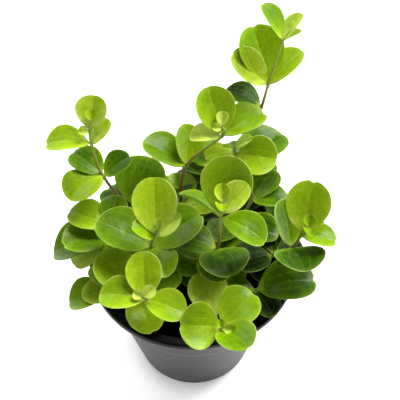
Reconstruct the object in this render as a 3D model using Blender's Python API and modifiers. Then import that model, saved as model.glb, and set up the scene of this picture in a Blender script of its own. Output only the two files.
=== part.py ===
# Trailing jade peperomia in a small round nursery pot.
# Metres, +Z up, with the origin at the centre of the pot's flat underside.
# The plant's table is in millimetres and degrees; heading 0 is +X and 90 is +Y.

import math
import random
from collections import namedtuple

import bmesh
import bpy
from mathutils import Matrix, Vector
from mathutils.bvhtree import BVHTree

MM = 0.001

# Pot
RIM_RADIUS = 50 * MM
POT_HEIGHT = 77 * MM
BASE_RADIUS = 31.5 * MM
BASE_ROUND = 2 * MM
POT_WALL = 1.2 * MM
LIP_HEIGHT = 3.4 * MM
LIP_WIDTH = 3 * MM
LIP_ROUND = 0.6 * MM
COLLAR_DROP = 23 * MM
COLLAR_STEP = 1 * MM
TURN_STEPS = 48
DRAIN_HOLES = 6
DRAIN_RADIUS = 3.5 * MM
DRAIN_CIRCLE = 21 * MM
DRAIN_SIDES = 16

# Soil
SOIL_TOP = 67 * MM
SOIL_CROWN = 1.5 * MM
CROWN_SHARE = 0.6
FIT_GAP = 0.35 * MM
HOLE_SIDES = 8

# Stems
ROOT_DEPTH = 12 * MM
STRAIGHT_RISE = 3 * MM
STEM_BASE_RADIUS = 1.1 * MM
STEM_TIP_RADIUS = 0.7 * MM
STEM_STEP = 8 * MM
HOLE_RADIUS = 1.6 * MM

# Leaves
BLADE_THICKNESS = 0.9 * MM
WIDTH_SHARE = 0.84
STALK_SHARE = 0.06
STALK_HALF_WIDTH = 0.8 * MM
WIDEST_AT = 0.57
OUTLINE_FULLNESS = 0.44
CUP = 0.16
FOLD = 0.12
FOLD_ROUND = 0.12
ARCH = 0.10
FLAT_RISE = 55
BLADE_HEART = 0.58
BLADE_STATIONS = (0.18, 0.42, 0.7, 0.92)
BUD_STATIONS = (0.25, 0.58, 0.88)
BUD_LENGTH = 12

# Room between leaves
CLEARANCE = 0.4 * MM
POT_GAP = 2 * MM
WHORL_SPAN = 5 * MM
WHORL_STEP = 0.4 * MM
TURN_NUDGE = 7
RISE_NUDGE = 6
MOST_NUDGES = 5
SIZE_TRIES = (1, 0.85, 0.7)
SHARP_ANGLE = 50

# Whorls of shaded leaves on the stems: their height and the length of their leaves in millimetres,
# how far a leaf's heading strays, its steepest rise, the span of its size, and the stems without them
SHADE_WHORLS = ((88, 21), (78, 20))
WHORL_LEAVES = 3
SHADE_STRAY = 15
SHADE_RISE = 25
SHADE_SIZES = (0.85, 1.1)
SHADE_SEED = 7
BARE_STEMS = ("shoot_front_left", "shoot_front_right")

Leaf = namedtuple("Leaf", "root heading rise length roll breadth", defaults=(0, WIDTH_SHARE))

# Each shoot is a list of stations from the soil to its tip: a place, and the leaves that grow there.
# The first place is where it leaves the soil. A leaf is (heading, rise, length), then its roll and its
# width as a share of its length where they are not the usual ones.
SHOOTS = {
    "shoot_tall": [
        ((12, 18), []),
        ((23, 34, 98), [(80, 8, 20), (5, 8, 19)]),
        ((32, 44, 131), [(155, 10, 19)]),
        ((33, 37, 149), [(116, 50, 26), (172, 41, 22, -28, 0.68), (30, 36, 20.5, -10)]),
        ((37, 37, 171), [(138, 44, 16.5, 15, 0.84), (38, 43, 13, -20, 0.75), (10, 20, 9, -45, 0.6)]),
    ],
    "shoot_left": [
        ((-14, 10), []),
        ((-28, 15, 86), [(100, 0, 19)]),
        ((-42, 20, 110), [(228, 0, 20.5, 0, 0.95), (145, 15, 19), (28, 25, 16, 0, 0.95)]),
        ((-45, 22, 128), [(185, 3, 20), (28, 42, 14)]),
        ((-45, 24, 134), [(78, 47, 15.5, 0, 0.95), (190, 5, 5, -35, 0.9)]),
        ((-44, 25, 138), [(82, 42, 5.5, 0, 0.95)]),
    ],
    "shoot_crown": [
        ((-4, 14), []),
        ((-6, 20, 90), [(100, 5, 19)]),
        ((-3, 22, 114), [(165, 28, 23), (88, 45, 20, 40)]),
        ((13, 16, 138), [(118, 48, 21.5), (25, 16, 21), (180, -3, 14)]),
        ((12.5, 16.5, 142), [(86, 41, 7, 0, 0.75), (185, 10, 4.5, -35, 0.9)]),
    ],
    "shoot_bud": [
        ((12, 6), []),
        ((27, 11, 103), [(350, 10, 17), (50, 20, 19)]),
        ((21, 18, 118.5), [(38, 10, 26.5)]),
        ((19, 20, 124), [(190, 5, 14), (350, 0, 19, 35, 0.95)]),
        ((18.5, 20, 127), [(24, 22, 9.5, 20, 0.5), (178, 8, 6, -20, 0.5)]),
    ],
    "shoot_centre": [
        ((6, -4), []),
        ((11, -13, 97), [(285, 14, 19.5, 0, 1.12), (165, 10, 20)]),
        ((12, -13, 119), [(72, 55, 26), (158, 20, 20, 40), (330, -10, 21, 0, 0.76)]),
        ((12, -16, 125), [(25, 42, 16)]),
        ((12.5, -13.5, 128), [(95, 42, 8, 0, 0.85), (266, 15, 6, 0, 1)]),
    ],
    "shoot_right": [
        ((20, -3), []),
        ((34, -8, 84), []),
        ((44, -13, 98), [(278, 22, 20, 0, 1.1), (108, 45, 22, 25)]),
        ((47, -13, 107), [(73, 48, 24, 0, 0.8), (345, 2, 15)]),
        ((49.5, -13, 112), [(90, 42, 5.5, 0, 1), (268, 12, 6, 0, 0.95)]),
    ],
    "shoot_left_middle": [
        ((-8, -6), []),
        ((-18, -13, 98), [(163, 20, 27), (292, 8, 19), (27, 17, 26.5)]),
        ((-15, -18, 112), [(93, 46, 25, 0, 0.76), (35, 34, 14.5), (178, 38, 12)]),
        ((-14, -17, 115), [(70, 62, 6, 0, 0.6), (200, 50, 4)]),
    ],
    "shoot_front_left": [
        ((-12, -18), []),
        ((-26, -29, 86), [(300, -12, 20), (137, 25, 23), (20, 10, 22)]),
        ((-19, -40, 98), [(95, 38, 20, 0, 0.75), (176, 5, 19), (338, -3, 18)]),
        ((-20, -40.5, 101), [(30, 24, 6.5, 30, 0.85), (158, 18, 4.5, -30, 0.95)]),
    ],
    "shoot_front_right": [
        ((5, -20), []),
        ((10, -39, 82), [(110, 25, 21)]),
        ((12, -49, 92), [(42, 17, 19.5, 0, 0.95), (188, 18, 18, -30, 1.05), (306, 25, 19.5)]),
        ((12, -51.5, 95), [(355, 2, 6, 30, 0.7), (110, 40, 4)]),
    ],
    "shoot_right_low": [
        ((22, -14), []),
        ((28, -26, 84), [(6, 8, 27), (180, 0, 14), (300, -5, 15)]),
    ],
    "shoot_back_left": [
        ((-20, 2), []),
        ((-29, 15, 93), [(83, 35, 26, 0, 1), (35, 20, 23)]),
    ],
    "shoot_left_low": [
        ((-22, -8), []),
        ((-40, 0, 88), [(188, -13, 27), (222, -10, 20)]),
        ((-38, 2, 94), [(165, 12, 21), (80, 20, 16)]),
    ],
    "shoot_front_left_low": [
        ((-23, -17), []),
        ((-37, -24, 80), [(190, -12, 20), (120, 10, 16)]),
    ],
    "shoot_back": [
        ((4, 24), []),
        ((6, 40, 84), [(30, 10, 22), (140, 0, 17), (90, 0, 21), (260, 40, 15)]),
        ((7, 44, 93), [(35, 35, 14), (155, 35, 14), (95, 15, 18)]),
    ],
    "shoot_back_right": [
        ((20, 18), []),
        ((25, 36, 88), [(350, 5, 18), (55, 10, 20)]),
        ((26, 39, 95), [(10, 35, 13), (110, 35, 13)]),
    ],
    "shoot_right_back": [
        ((25, 4), []),
        ((43, 9, 86), [(345, 5, 21), (40, 10, 21), (90, 25, 18)]),
    ],
    "shoot_far_left": [
        ((-14, 22), []),
        ((-26, 36, 80), [(185, -5, 18), (115, 0, 22)]),
        ((-27, 39, 86), [(125, 5, 16), (65, 0, 16)]),
    ],
}


def clear_scene():
    for found in list(bpy.data.objects):
        bpy.data.objects.remove(found)


def collection_named(name):
    made = bpy.data.collections.new(name)
    bpy.context.scene.collection.children.link(made)
    return made


def material(name, colour, roughness):
    made = bpy.data.materials.new(name)
    made.use_nodes = True
    shader = made.node_tree.nodes["Principled BSDF"]
    shader.inputs["Base Color"].default_value = (*colour, 1)
    shader.inputs["Roughness"].default_value = roughness
    shader.inputs["Metallic"].default_value = 0
    return made


def mesh_object(name, shape, home):
    """An object in the collection with the bmesh as its mesh."""
    mesh = bpy.data.meshes.new(name)
    shape.to_mesh(mesh)
    shape.free()
    made = bpy.data.objects.new(name, mesh)
    home.objects.link(made)
    return made


def turned(name, profile, home):
    """A body turned round Z from its (radius, height) profile, which starts and ends on the axis."""
    sketch = bmesh.new()
    corners = [sketch.verts.new((radius, 0, height)) for radius, height in profile]
    for start, end in zip(corners, corners[1:]):
        sketch.edges.new((start, end))
    made = mesh_object(name, sketch, home)
    screw = made.modifiers.new("turn", "SCREW")
    screw.steps = screw.render_steps = TURN_STEPS
    screw.use_merge_vertices = True
    screw.merge_threshold = 0.01 * MM
    return made


def wall_radius(height):
    """Outer radius of the pot's wall at a height: the collar stands out from the body below it."""
    body_top = RIM_RADIUS - LIP_WIDTH - COLLAR_STEP
    step = COLLAR_STEP if height >= POT_HEIGHT - COLLAR_DROP else 0
    return BASE_RADIUS + (body_top - BASE_RADIUS) * height / POT_HEIGHT + step


def pot_profile():
    """Along the floor and up the inner wall, over the lip, then down the collar and the body."""
    lip_foot = POT_HEIGHT - LIP_HEIGHT
    collar_foot = POT_HEIGHT - COLLAR_DROP
    body_top = collar_foot - POT_WALL
    inner = (POT_WALL + BASE_ROUND, body_top, collar_foot, POT_HEIGHT)
    outer = (lip_foot, collar_foot, body_top, BASE_ROUND)
    return [
        (0, POT_WALL),
        (wall_radius(0) - POT_WALL - BASE_ROUND, POT_WALL),
        *((wall_radius(height) - POT_WALL, height) for height in inner),
        (RIM_RADIUS - LIP_ROUND, POT_HEIGHT),
        (RIM_RADIUS, POT_HEIGHT - LIP_ROUND),
        (RIM_RADIUS, lip_foot),
        *((wall_radius(height), height) for height in outer),
        (wall_radius(0) - BASE_ROUND, 0),
        (0, 0),
    ]


def soil_profile():
    """From the crown in the middle over the brim, then down the pot's inner wall to its floor."""
    fit = POT_WALL + FIT_GAP
    brim = wall_radius(SOIL_TOP) - fit
    collar_foot = POT_HEIGHT - COLLAR_DROP
    return [
        (0, SOIL_TOP + SOIL_CROWN),
        (brim / 2, SOIL_TOP + SOIL_CROWN * CROWN_SHARE),
        (brim, SOIL_TOP),
        (wall_radius(collar_foot) - fit, collar_foot + FIT_GAP),
        (wall_radius(collar_foot - POT_WALL) - fit, collar_foot - POT_WALL),
        (wall_radius(fit + BASE_ROUND) - fit, fit + BASE_ROUND),
        (wall_radius(0) - fit - BASE_ROUND, fit),
        (0, fit),
    ]


def cutter(name, place, radius, low, high, sides, home):
    """A hidden upright cylinder."""
    shape = bmesh.new()
    bmesh.ops.create_cone(
        shape, cap_ends=True, segments=sides, radius1=radius, radius2=radius, depth=high - low
    )
    made = mesh_object(name, shape, home)
    made.location = (*place, (low + high) / 2)
    made.hide_render = True
    made.display_type = "WIRE"


def cut(piece, cutters):
    drill = piece.modifiers.new("holes", "BOOLEAN")
    drill.operand_type = "COLLECTION"
    drill.collection = cutters
    drill.operation = "DIFFERENCE"
    drill.solver = "EXACT"


def make_pot(home):
    pot = turned("pot", pot_profile(), home)
    pot.data.materials.append(material("black_plastic", (0.02, 0.02, 0.022), 0.4))
    drains = collection_named("drain_cutters")
    for index in range(DRAIN_HOLES):
        angle = math.tau * index / DRAIN_HOLES
        place = (DRAIN_CIRCLE * math.cos(angle), DRAIN_CIRCLE * math.sin(angle))
        cutter(f"drain_{index}", place, DRAIN_RADIUS, -POT_WALL, POT_WALL * 2, DRAIN_SIDES, drains)
    cut(pot, drains)


def make_soil(routes, home):
    soil = turned("soil", soil_profile(), home)
    soil.data.materials.append(material("potting_soil", (0.012, 0.009, 0.007), 0.95))
    holes = collection_named("stem_hole_cutters")
    low = SOIL_TOP - ROOT_DEPTH - FIT_GAP
    high = SOIL_TOP + SOIL_CROWN * 3
    for name, points in routes.items():
        cutter(f"hole_{name}", points[0].xy, HOLE_RADIUS, low, high, HOLE_SIDES, holes)
    cut(soil, holes)


def smooth_route(stations):
    """Points of a stem: straight up out of the soil, then a smooth curve through its stations."""
    foot = Vector((*stations[0][0], SOIL_TOP / MM)) * MM
    knots = [foot - Vector((0, 0, ROOT_DEPTH)), foot + Vector((0, 0, STRAIGHT_RISE))]
    knots += [Vector(place) * MM for place, leaves in stations[1:]]
    knots.append(knots[-1] * 2 - knots[-2])
    points = knots[:2]
    for before, start, end, after in zip(knots, knots[1:], knots[2:], knots[3:]):
        leave, arrive = (end - before) / 2, (after - start) / 2
        steps = max(2, round((end - start).length / STEM_STEP))
        for step in range(1, steps + 1):
            t = step / steps
            from_start = start * (2 * t**3 - 3 * t**2 + 1) + leave * (t**3 - 2 * t**2 + t)
            points.append(from_start + end * (3 * t**2 - 2 * t**3) + arrive * (t**3 - t**2))
    return points


def stem_object(name, points, home):
    """A tapering tube along the points, as a closed mesh."""
    curve = bpy.data.curves.new(name, "CURVE")
    curve.dimensions = "3D"
    curve.bevel_depth = STEM_BASE_RADIUS
    curve.bevel_resolution = 1
    curve.use_fill_caps = True
    spline = curve.splines.new("POLY")
    spline.points.add(len(points) - 1)
    for index, (knot, point) in enumerate(zip(spline.points, points)):
        thinning = (1 - STEM_TIP_RADIUS / STEM_BASE_RADIUS) * index / (len(points) - 1)
        knot.co = (*point, 1)
        knot.radius = 1 - thinning
    guide = bpy.data.objects.new(name, curve)
    home.objects.link(guide)
    evaluated = guide.evaluated_get(bpy.context.evaluated_depsgraph_get())
    tube = bpy.data.meshes.new_from_object(evaluated)
    tube.transform(guide.matrix_world)
    bpy.data.objects.remove(guide)
    shape = bmesh.new()
    shape.from_mesh(tube)
    bmesh.ops.remove_doubles(shape, verts=shape.verts, dist=0.001 * MM)
    return mesh_object(name, shape, home)


def outline(u):
    """Half width of a blade, as a share of its widest, at the share u of the leaf's length."""
    blade = max(0.0, (u - STALK_SHARE) / (1 - STALK_SHARE))
    swell = math.log(0.5) / math.log(WIDEST_AT)
    return max(0.0, math.sin(math.pi * blade**swell)) ** OUTLINE_FULLNESS


def leaf_surface(leaf, u, v):
    """A point of the leaf's middle surface in its own frame: u runs from root to tip, v across."""
    length = leaf.length * MM
    widest = length * leaf.breadth / 2
    side = v * max(STALK_HALF_WIDTH * (1 - u), widest * outline(u))
    arch = ARCH * (1 - leaf.rise / FLAT_RISE) * length * 4 * u * (1 - u)
    fold = FOLD * (math.hypot(side, FOLD_ROUND * widest) - FOLD_ROUND * widest)
    return Vector((length * u, side, arch + CUP * side**2 / widest + fold))


def leaf_frame(leaf):
    turn = Matrix.Rotation(math.radians(leaf.heading), 4, "Z")
    tilt = Matrix.Rotation(math.radians(-leaf.rise), 4, "Y")
    twist = Matrix.Rotation(math.radians(leaf.roll), 4, "X")
    return Matrix.Translation(leaf.root) @ turn @ tilt @ twist


def blade_template(stations):
    """A flat leaf in (u, v) as a fan of triangles on two levels, 0 above and -1 below."""
    sheet = bmesh.new()
    bmesh.ops.create_circle(sheet, cap_ends=True, cap_tris=True, segments=2 * len(stations) + 3, radius=1)
    heart = min(sheet.verts, key=lambda vert: vert.co.length)
    rim = [vert for vert in sheet.verts if vert != heart]
    rim.sort(key=lambda vert: math.atan2(vert.co.y, vert.co.x))
    right = [(u, -1) for u in (0, *stations)]
    left = [(u, 1) for u in reversed((0, *stations))]
    for vert, (u, v) in zip(rim, [*right, (1, 0), *left]):
        vert.co = (u, v, 0)
    heart.co = (BLADE_HEART, 0, 0)
    bmesh.ops.solidify(sheet, geom=sheet.faces[:], thickness=1)
    bmesh.ops.recalc_face_normals(sheet, faces=sheet.faces)
    corners = [tuple(vert.co) for vert in sheet.verts]
    faces = [[vert.index for vert in face.verts] for face in sheet.faces]
    sheet.free()
    return corners, faces


BLADE = blade_template(BLADE_STATIONS)
BUD = blade_template(BUD_STATIONS)


def leaf_body(leaf, margin=0):
    """A leaf's corners in space, grown by the margin on every side, and its faces."""
    template, faces = BUD if leaf.length < BUD_LENGTH else BLADE
    frame = leaf_frame(leaf)
    corners = []
    for u, v, level in template:
        point = leaf_surface(leaf, u, v)
        point.x += margin if u == 1 else 0
        point.y += margin * v
        point.z += (level + 0.5) * (BLADE_THICKNESS + 2 * margin)
        corners.append(frame @ point)
    return corners, faces


def stem_body(points):
    """A plain square tube round a stem's points, for keeping leaves away from it."""
    ring = [Vector((x, y, 0)) * STEM_BASE_RADIUS for x, y in ((1, 1), (-1, 1), (-1, -1), (1, -1))]
    corners = [point + corner for point in points for corner in ring]
    faces = []
    for first in range(0, len(corners) - 4, 4):
        for side, following in ((0, 1), (1, 2), (2, 3), (3, 0)):
            faces.append((first + side, first + following, first + 4 + following, first + 4 + side))
    return corners, faces


def near_pot(point):
    """Whether a point lies too near the pot or the soil for a leaf."""
    radius = math.hypot(point.x, point.y)
    if radius < wall_radius(POT_HEIGHT) - POT_WALL - POT_GAP:
        return point.z < SOIL_TOP + SOIL_CROWN + POT_GAP
    return radius < RIM_RADIUS + POT_GAP and point.z < POT_HEIGHT + POT_GAP


class Thicket:
    """The stems and leaves placed so far, which a new leaf stays clear of."""

    def __init__(self):
        self.bodies = []

    def add(self, owner, root, corners, faces):
        middle = sum(corners, Vector()) / len(corners)
        reach = max((corner - middle).length for corner in corners)
        self.bodies.append((owner, root, middle, reach, BVHTree.FromPolygons(corners, faces)))

    def is_clear(self, owner, leaf):
        corners, faces = leaf_body(leaf, CLEARANCE)
        if any(near_pot(corner) for corner in corners):
            return False
        middle = sum(corners, Vector()) / len(corners)
        reach = max((corner - middle).length for corner in corners)
        tree = BVHTree.FromPolygons(corners, faces)
        for other, root, other_middle, other_reach, other_tree in self.bodies:
            joined = other == owner and (root is None or (root - leaf.root).length < WHORL_SPAN)
            far = (middle - other_middle).length > reach + other_reach
            if not joined and not far and tree.overlap(other_tree):
                return False
        return True

    def settle(self, owner, leaf):
        """Adds the leaf at the first place that touches nothing, its own or a little bent, if any."""
        steps = range(-MOST_NUDGES, MOST_NUDGES + 1)
        nudges = [(turn * turn + lift * lift, turn, lift) for turn in steps for lift in steps]
        for size in SIZE_TRIES:
            for _, turn, lift in sorted(nudges):
                heading, rise = leaf.heading + turn * TURN_NUDGE, leaf.rise + lift * RISE_NUDGE
                bent = leaf._replace(heading=heading, rise=rise, length=leaf.length * size)
                if self.is_clear(owner, bent):
                    self.add(owner, bent.root, *leaf_body(bent))
                    return [bent]
        return []


def station_leaves(stations, points):
    """The leaves of a shoot's stations, each rooted a little lower on the stem than the one before."""
    leaves = []
    for place, grown in stations[1:]:
        station = Vector(place) * MM
        below = max((point for point in points if point.z < station.z - MM), key=lambda point: point.z)
        down = (below - station).normalized() * WHORL_STEP
        leaves += [Leaf(station + down * index, *values) for index, values in enumerate(grown)]
    return leaves


def shade_whorl(points, height, length, draw):
    """Leaves round a stem at a height, if the stem reaches it."""
    leaves = []
    first_heading = draw.uniform(0, 360)
    for index in range(WHORL_LEAVES):
        heading = first_heading + index * 360 / WHORL_LEAVES + draw.uniform(-SHADE_STRAY, SHADE_STRAY)
        rise, size = draw.uniform(0, SHADE_RISE), length * draw.uniform(*SHADE_SIZES)
        level = height * MM - index * WHORL_STEP
        for start, end in zip(points, points[1:]):
            if start.z <= level < end.z:
                root = start.lerp(end, (level - start.z) / (end.z - start.z))
                leaves.append(Leaf(root, heading, rise, size))
    return leaves


def placed_leaves(routes):
    """Every shoot's leaves where they end up: those of the stations first, then the shaded ones."""
    thicket = Thicket()
    for name, points in routes.items():
        thicket.add(name, None, *stem_body(points))
    wanted = []
    for name, points in routes.items():
        wanted += [(name, leaf) for leaf in station_leaves(SHOOTS[name], points)]
    draw = random.Random(SHADE_SEED)
    for height, length in SHADE_WHORLS:
        for name, points in routes.items():
            if name not in BARE_STEMS:
                wanted += [(name, leaf) for leaf in shade_whorl(points, height, length, draw)]
    leaves = {name: [] for name in routes}
    for name, leaf in wanted:
        leaves[name] += thicket.settle(name, leaf)
    return leaves


def leaf_object(name, leaf, home):
    corners, faces = leaf_body(leaf)
    mesh = bpy.data.meshes.new(name)
    mesh.from_pydata(corners, [], faces)
    home.objects.link(bpy.data.objects.new(name, mesh))


def fill_pockets(mesh):
    """Keeps the outer shell of a fused mesh and drops small shells that are sealed inside it."""
    shape = bmesh.new()
    shape.from_mesh(mesh)
    unseen = set(shape.verts)
    shells = []
    while unseen:
        front = {unseen.pop()}
        shell = []
        while front:
            shell += front
            front = {edge.other_vert(vert) for vert in front for edge in vert.link_edges} & unseen
            unseen -= front
        shells.append(shell)
    shells.sort(key=len)
    sealed = [vert for shell in shells[:-1] for vert in shell]
    bmesh.ops.delete(shape, geom=sealed, context="VERTS")
    shape.to_mesh(mesh)
    shape.free()


def fuse(stem, repeats):
    """Joins the collection's leaves to their stem as one body and removes the loose ones."""
    union = stem.modifiers.new("leaves", "BOOLEAN")
    union.operand_type = "COLLECTION"
    union.collection = repeats
    union.operation = "UNION"
    union.solver = "EXACT"
    evaluated = stem.evaluated_get(bpy.context.evaluated_depsgraph_get())
    fused = bpy.data.meshes.new_from_object(evaluated)
    fill_pockets(fused)
    fused.shade_smooth()
    fused.set_sharp_from_angle(angle=math.radians(SHARP_ANGLE))
    stem.modifiers.clear()
    stem.data = fused
    for spent in list(repeats.objects):
        bpy.data.objects.remove(spent)
    bpy.data.collections.remove(repeats)


def make_shoots(routes, home):
    green = material("peperomia_leaf", (0.13, 0.32, 0.02), 0.4)
    leaves = placed_leaves(routes)
    for name, points in routes.items():
        stem = stem_object(name, points, home)
        repeats = collection_named("repeats")
        for index, leaf in enumerate(leaves[name]):
            leaf_object(f"{name}_leaf_{index}", leaf, repeats)
        fuse(stem, repeats)
        stem.data.materials.clear()
        stem.data.materials.append(green)


def main():
    clear_scene()
    plant = collection_named("trailing_jade_peperomia")
    routes = {name: smooth_route(stations) for name, stations in SHOOTS.items()}
    make_pot(plant)
    make_soil(routes, plant)
    make_shoots(routes, plant)


main()
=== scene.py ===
# Looks for a trailing jade peperomia in its small nursery pot
import math
import random
from collections import namedtuple

import bmesh
import bpy
from mathutils import Matrix, Vector, noise
from mathutils.bvhtree import BVHTree


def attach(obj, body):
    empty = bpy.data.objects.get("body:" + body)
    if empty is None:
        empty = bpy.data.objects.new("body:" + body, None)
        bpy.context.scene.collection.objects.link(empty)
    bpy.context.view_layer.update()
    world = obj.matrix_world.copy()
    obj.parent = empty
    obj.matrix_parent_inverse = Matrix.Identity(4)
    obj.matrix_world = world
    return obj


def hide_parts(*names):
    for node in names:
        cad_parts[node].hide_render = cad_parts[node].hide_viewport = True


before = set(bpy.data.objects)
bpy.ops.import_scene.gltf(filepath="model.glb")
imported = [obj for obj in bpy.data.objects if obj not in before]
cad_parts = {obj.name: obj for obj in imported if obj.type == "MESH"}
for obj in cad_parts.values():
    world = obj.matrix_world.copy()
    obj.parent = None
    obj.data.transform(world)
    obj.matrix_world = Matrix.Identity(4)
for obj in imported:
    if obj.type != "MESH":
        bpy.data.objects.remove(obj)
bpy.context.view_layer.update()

mm = 0.001
print("frame loaded:", len(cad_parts), "nodes")


class Wire:
    # a shader socket that Python's operators can work on
    def __init__(self, socket):
        self.socket = socket

    def __add__(self, other):
        return mathsNode("ADD", self, other)

    def __sub__(self, other):
        return mathsNode("SUBTRACT", self, other)

    def __rsub__(self, other):
        return mathsNode("SUBTRACT", other, self)

    def __mul__(self, other):
        return mathsNode("MULTIPLY", self, other)

    def __pow__(self, other):
        return mathsNode("POWER", self, other)

    __radd__ = __add__
    __rmul__ = __mul__


class Patch:
    # a node tree, and the one method that adds any node to it
    def __init__(self, holder, shader):
        holder.use_nodes = True
        self.tree = holder.node_tree
        self.shader = self.tree.nodes[shader]

    def add(self, kind, settings=None, inputs=None, output=0):
        node = self.tree.nodes.new("ShaderNode" + kind)
        for name, value in (settings or {}).items():
            if name == "stops":
                fillRamp(node.color_ramp, value)
            else:
                setattr(node, name, value)
        for name, value in (inputs or {}).items():
            if isinstance(value, Wire):
                self.tree.links.new(value.socket, node.inputs[name])
            else:
                node.inputs[name].default_value = value
        return Wire(node.outputs[output])

    def mix(self, factor, first, second):
        return self.add("Mix", {"data_type": "RGBA"}, {0: factor, 6: first, 7: second}, 2)

    def step(self, value, low, high):
        settings = {"interpolation_type": "SMOOTHSTEP"}
        return self.add("MapRange", settings, {0: value, 1: low, 2: high})

    def absolute(self, value):
        return self.add("Math", {"operation": "ABSOLUTE"}, {0: value})

    def line(self, offset, width):
        # 1 where the offset is 0, down to 0 at the width
        return 1 - self.step(self.absolute(offset), 0.0, width)

    def stretched(self, place, scales):
        return self.add("VectorMath", {"operation": "MULTIPLY"}, {0: place, 1: scales})

    def noiseAt(self, place, scale, detail=2, roughness=0.5):
        inputs = {"Vector": place, "Scale": scale, "Detail": detail, "Roughness": roughness}
        return self.add("TexNoise", None, inputs)

    def bump(self, height, strength, distance):
        inputs = {"Height": height, "Strength": strength, "Distance": distance}
        return self.add("Bump", None, inputs)

    def attribute(self, name):
        return self.add("Attribute", {"attribute_name": name}, None, "Vector")

    def parts(self, vector):
        first = self.add("SeparateXYZ", None, {0: vector})
        return [Wire(socket) for socket in first.socket.node.outputs]

    def objectPlace(self):
        return self.add("TexCoord", None, None, "Object")

    def connect(self, **wires):
        for socket, wire in wires.items():
            self.tree.links.new(wire.socket, self.shader.inputs[socket.replace("_", " ")])


class Finish(Patch):
    # a material made of one Principled shader
    def __init__(self, name, **constants):
        self.material = bpy.data.materials.new(name)
        super().__init__(self.material, "Principled BSDF")
        for socket, value in constants.items():
            self.shader.inputs[socket.replace("_", " ")].default_value = value


def mathsNode(operation, first, second):
    tree = next(value.socket.id_data for value in (first, second) if isinstance(value, Wire))
    node = tree.nodes.new("ShaderNodeMath")
    node.operation = operation
    for slot, value in enumerate((first, second)):
        if isinstance(value, Wire):
            tree.links.new(value.socket, node.inputs[slot])
        else:
            node.inputs[slot].default_value = value
    return Wire(node.outputs[0])


def fillRamp(ramp, stops):
    # a new ramp has two stops, which take the first and the last colour
    ramp.elements[0].color, ramp.elements[1].color = stops[0][1], stops[-1][1]
    for position, colour in stops[1:-1]:
        ramp.elements.new(position).color = colour


def tint(red, green, blue):
    # a colour as it looks on a screen, 0 to 255, made linear
    return tuple((channel / 255) ** 2.2 for channel in (red, green, blue)) + (1,)


def pieceOf(name, shape, materials, replaced=()):
    mesh = bpy.data.meshes.new(name)
    shape.to_mesh(mesh)
    shape.free()
    mesh.shade_smooth()
    piece = bpy.data.objects.new(name, mesh)
    bpy.context.scene.collection.objects.link(piece)
    for material in materials:
        mesh.materials.append(material)
    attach(piece, "root")
    if replaced:
        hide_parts(*replaced)
    return piece


pot = {
    "rimRadius": 50 * mm,
    "height": 77 * mm,
    "baseRadius": 31.5 * mm,
    "baseRound": 2 * mm,
    "wall": 1.2 * mm,
    "lipHeight": 3.4 * mm,
    "lipWidth": 3 * mm,
    "lipRound": 0.6 * mm,
    "collarDrop": 23 * mm,
    "collarStep": 1 * mm,
    "turnSteps": 180,
    "edgeRound": 0.45 * mm,
    "roundAbove": 25,  # degrees that an edge turns by before it is rounded
    "creaseAbove": 40,  # degrees above which an edge still shades as a crease
    "weldGap": 0.005 * mm,
    "drainHoles": 6,
    "drainRadius": 3.5 * mm,
    "drainCircle": 21 * mm,
    "drainSides": 32,
}

potLook = {
    "body": tint(38, 38, 37),
    "dust": tint(58, 57, 55),
    # painted light and shade: the pot lighter towards its top and darker towards the floor
    "upper": tint(72, 71, 69),
    "scuff": tint(104, 102, 100),
    # painted shade: near black on the inner wall and the lip, which catch less light than the body
    "lipAndInsideShade": tint(4, 4, 4),
    # painted highlight: light lines where the rounded lip and collar edges would catch light
    "paintedHighlightLine": tint(150, 149, 146),
    "grainScale": 2600,
    "hazeScale": 70,
    "scuffScale": 900,
    "streakScales": (420, 420, 16),
    "grainDepth": 0.05 * mm,
    "roughness": 0.34,
    "dustShare": 0.5,
    "paintedTopLightShare": 0.5,
    "scuffShare": 0.25,
    "lipAndInsideShadeShare": 0.97,
    "highlightLineShare": 0.8,
}

soil = {
    "top": 67 * mm,
    "crown": 1.5 * mm,
    "fitGap": 0.35 * mm,
    "crustRise": 0.35 * mm,
    "crustDepth": 1.2 * mm,
    "crustSides": 96,
    "crustCuts": 22,
    "lumpScale": 160,
    "lumpHeight": 0.5 * mm,
    "crumbs": 1500,
    "crumbSizes": (0.5 * mm, 1.7 * mm),
    "crumbWidths": (0.7, 1.3),
    "crumbHeights": (0.5, 0.9),
    "crumbScale": 900,
    "crumbDents": 0.22,
    "doubleEvery": 12,  # one crumb in so many is twice the size
    "fineAbove": 1.6 * mm,
    "seed": 3,
}

soilLook = {
    "wet": tint(2, 2, 1),
    "dry": tint(11, 8, 6),
    "fleck": tint(38, 29, 21),
    "clumpScale": 260,
    "fleckScale": 1500,
    "gritScale": 1800,
    "gritDepth": 0.4 * mm,
    "roughness": 0.95,
    "fleckShare": 0.3,
}


def wallRadius(height):
    bodyTop = pot["rimRadius"] - pot["lipWidth"] - pot["collarStep"]
    step = pot["collarStep"] if height >= pot["height"] - pot["collarDrop"] else 0
    return pot["baseRadius"] + (bodyTop - pot["baseRadius"]) * height / pot["height"] + step


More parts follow.
